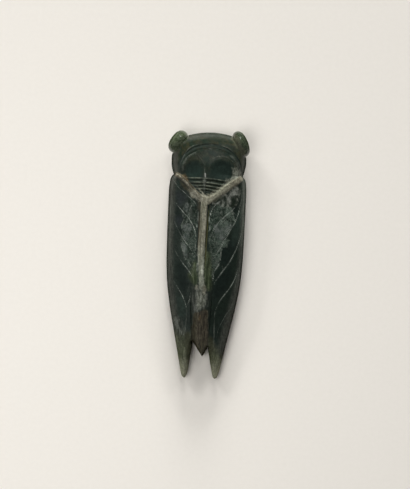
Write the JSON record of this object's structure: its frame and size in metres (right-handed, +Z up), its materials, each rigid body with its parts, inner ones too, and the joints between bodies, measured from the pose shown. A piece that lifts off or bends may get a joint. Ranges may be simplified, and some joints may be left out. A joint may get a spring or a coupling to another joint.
{
  "type": "carved cicada amulet",
  "caption": "Flat carved jade cicada lying on its belly: bulging eyes, collar, Y-shaped back band and parted wing tips.",
  "frame": {"origin": "under the middle of the cicada's box, on the surface its belly lies on", "axes": "+Y along the back towards the head, +X across the wings to the cicada's right, +Z up from the table"},
  "size_m": [0.0226, 0.07, 0.01],
  "materials": {
    "jade": "polished dark green nephrite, mottled grey and brown along the back"
  },
  "bodies": {
    "root": {"cicada": "jade"}
  },
  "joints": []
}
